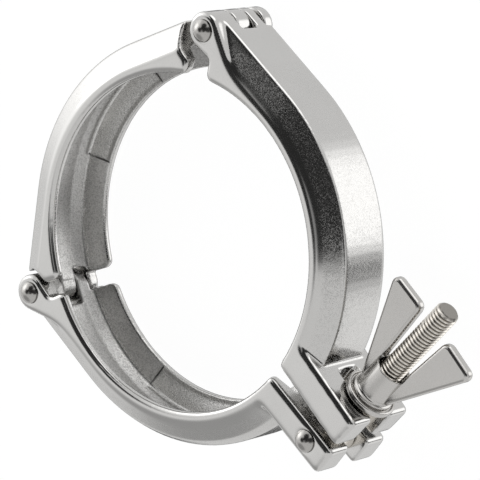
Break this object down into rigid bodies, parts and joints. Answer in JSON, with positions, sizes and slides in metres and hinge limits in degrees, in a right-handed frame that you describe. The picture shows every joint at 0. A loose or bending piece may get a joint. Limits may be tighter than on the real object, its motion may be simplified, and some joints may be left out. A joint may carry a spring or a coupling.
{
  "type": "vacuum flange clamp",
  "caption": "Hinged segmented ring clamp with a V groove inside, closed by a swing bolt and a wing nut, for joining vacuum flanges.",
  "frame": {"origin": "centre of the ring, half way through its width", "axes": "+Z is the axis of the ring and points to the rivet heads, +X points to the closure lugs, +Y points to the side of the slotted segment"},
  "size_m": [0.1287, 0.1022, 0.0228],
  "materials": {
    "cast_stainless": "satin",
    "rivet_stainless": "polished",
    "threaded_stainless": "polished",
    "polished_stainless": "polished"
  },
  "bodies": {
    "middle": {"left_segment": "cast_stainless"},
    "right": {"right_segment": "cast_stainless", "top_hinge_pin": "rivet_stainless"},
    "lower": {"lower_segment": "cast_stainless", "left_hinge_pin": "rivet_stainless", "bolt_pin": "rivet_stainless"},
    "bolt": {"swing_bolt": "threaded_stainless"},
    "nut": {"wing_nut": "polished_stainless"}
  },
  "joints": [
    {"name": "left_hinge", "type": "hinge", "parent": "middle", "child": "lower", "pos_m": [-0.0268, -0.04642, 0], "axis": [0, 0, -1], "range_deg": [0, 10]},
    {"name": "top_hinge", "type": "hinge", "parent": "middle", "child": "right", "pos_m": [-0.0268, 0.04642, 0], "axis": [0, 0, 1], "range_deg": [0, 6]},
    {"name": "bolt_swing", "type": "hinge", "parent": "lower", "child": "bolt", "pos_m": [0.0596, -0.0063, 0], "axis": [0, 0, -1], "range_deg": [0, 85]},
    {"name": "nut_travel", "type": "slide", "parent": "bolt", "child": "nut", "axis": [0.0872, 0.9962, 0], "range_m": [0, 0.03]}
  ],
  "couplings": [
    {"joint": "top_hinge", "follows": "left_hinge", "ratio": 0.6},
    {"joint": "bolt_swing", "follows": "left_hinge", "ratio": 8.5},
    {"joint": "nut_travel", "follows": "left_hinge", "m_per_rad": 0.17189}
  ]
}
